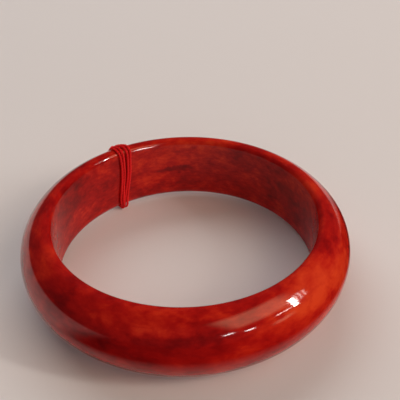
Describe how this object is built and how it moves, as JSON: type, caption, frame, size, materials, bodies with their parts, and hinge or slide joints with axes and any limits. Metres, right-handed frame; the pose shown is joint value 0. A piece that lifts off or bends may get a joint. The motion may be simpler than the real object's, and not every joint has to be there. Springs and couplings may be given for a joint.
{
  "type": "bangle bracelet",
  "caption": "Closed polished stone bangle with a flat inner wall and a domed outside, and a thin thread wound round its band and tied.",
  "frame": {"origin": "centre of the bangle, on its axis and halfway up its band", "axes": "+Z along the bangle's axis, with the bangle lying flat on the XY plane; the thread tie is at about 120 degrees from +X, measured anticlockwise seen from +Z"},
  "size_m": [0.0704, 0.0704, 0.0175],
  "materials": {
    "stone": "high polish, cloudy orange-red to maroon mottling",
    "thread": "twisted bright red thread"
  },
  "bodies": {
    "bangle": {"bangle_ring": "stone"},
    "thread_tie": {"thread_turn_1": "thread", "thread_turn_2": "thread", "thread_turn_3": "thread", "thread_turn_4": "thread", "thread_knot": "thread", "thread_tail_upper": "thread", "thread_tail_lower": "thread"}
  },
  "joints": [
    {"name": "thread_slide", "type": "hinge", "parent": "bangle", "child": "thread_tie", "pos_m": [0, 0, 0], "axis": [0, 0, 1], "continuous": true}
  ]
}
